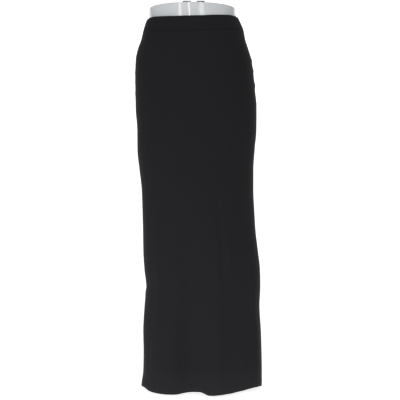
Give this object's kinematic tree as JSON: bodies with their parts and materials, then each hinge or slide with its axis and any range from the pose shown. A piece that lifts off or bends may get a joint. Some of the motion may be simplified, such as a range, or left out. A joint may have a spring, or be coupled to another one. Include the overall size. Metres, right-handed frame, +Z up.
{
  "type": "maxi skirt on a limbless hip dress form",
  "caption": "Long narrow pull-on jersey skirt with a plain waistband, worn on a smooth waist and hip form that stands on a pole and an oval base plate.",
  "frame": {"origin": "on the floor, at the middle of the base plate's underside", "axes": "+Z up, the skirt's front faces -Y, and +X is to the right of someone who faces the front"},
  "size_m": [0.3476, 0.2329, 1.0624],
  "materials": {
    "jersey": "matte knitted jersey",
    "form": "gloss lacquer",
    "steel": "satin",
    "base": "satin powder coat"
  },
  "bodies": {
    "root": {"front_panel": "jersey", "back_panel": "jersey", "waistband": "jersey", "form_body": "form", "fitting_plate": "steel", "fitting_lug_left": "steel", "fitting_lug_right": "steel", "pole_flange": "steel", "pole": "steel", "pole_collar": "steel", "base_plate": "base"}
  },
  "joints": []
}
